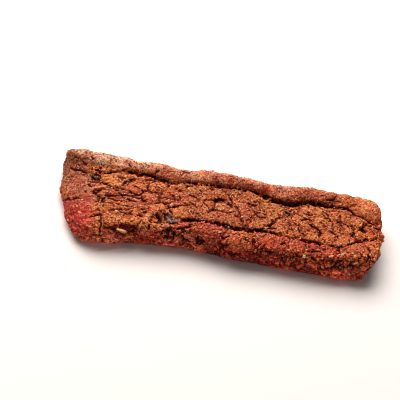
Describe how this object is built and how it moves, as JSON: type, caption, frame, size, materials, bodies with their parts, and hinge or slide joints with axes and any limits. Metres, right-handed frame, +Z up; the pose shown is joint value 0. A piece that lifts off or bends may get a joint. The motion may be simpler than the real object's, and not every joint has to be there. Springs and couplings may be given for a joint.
{
  "type": "chicken jerky bar",
  "caption": "Slab of dried, formed chicken with a rolled rim along one long side, two wavy creases, a cracked crumbly top and a flat underside.",
  "frame": {"origin": "centre of the bar's outline, on the surface that it lies on", "axes": "+X along the bar from the pinched end to the blunt end, +Y towards the long side with the rolled rim, +Z up"},
  "size_m": [0.121, 0.0376, 0.0124],
  "materials": {
    "dried_chicken": "matte, cracked and crumbly, with a slightly oily sheen"
  },
  "bodies": {
    "root": {"jerky_bar": "dried_chicken"}
  },
  "joints": []
}
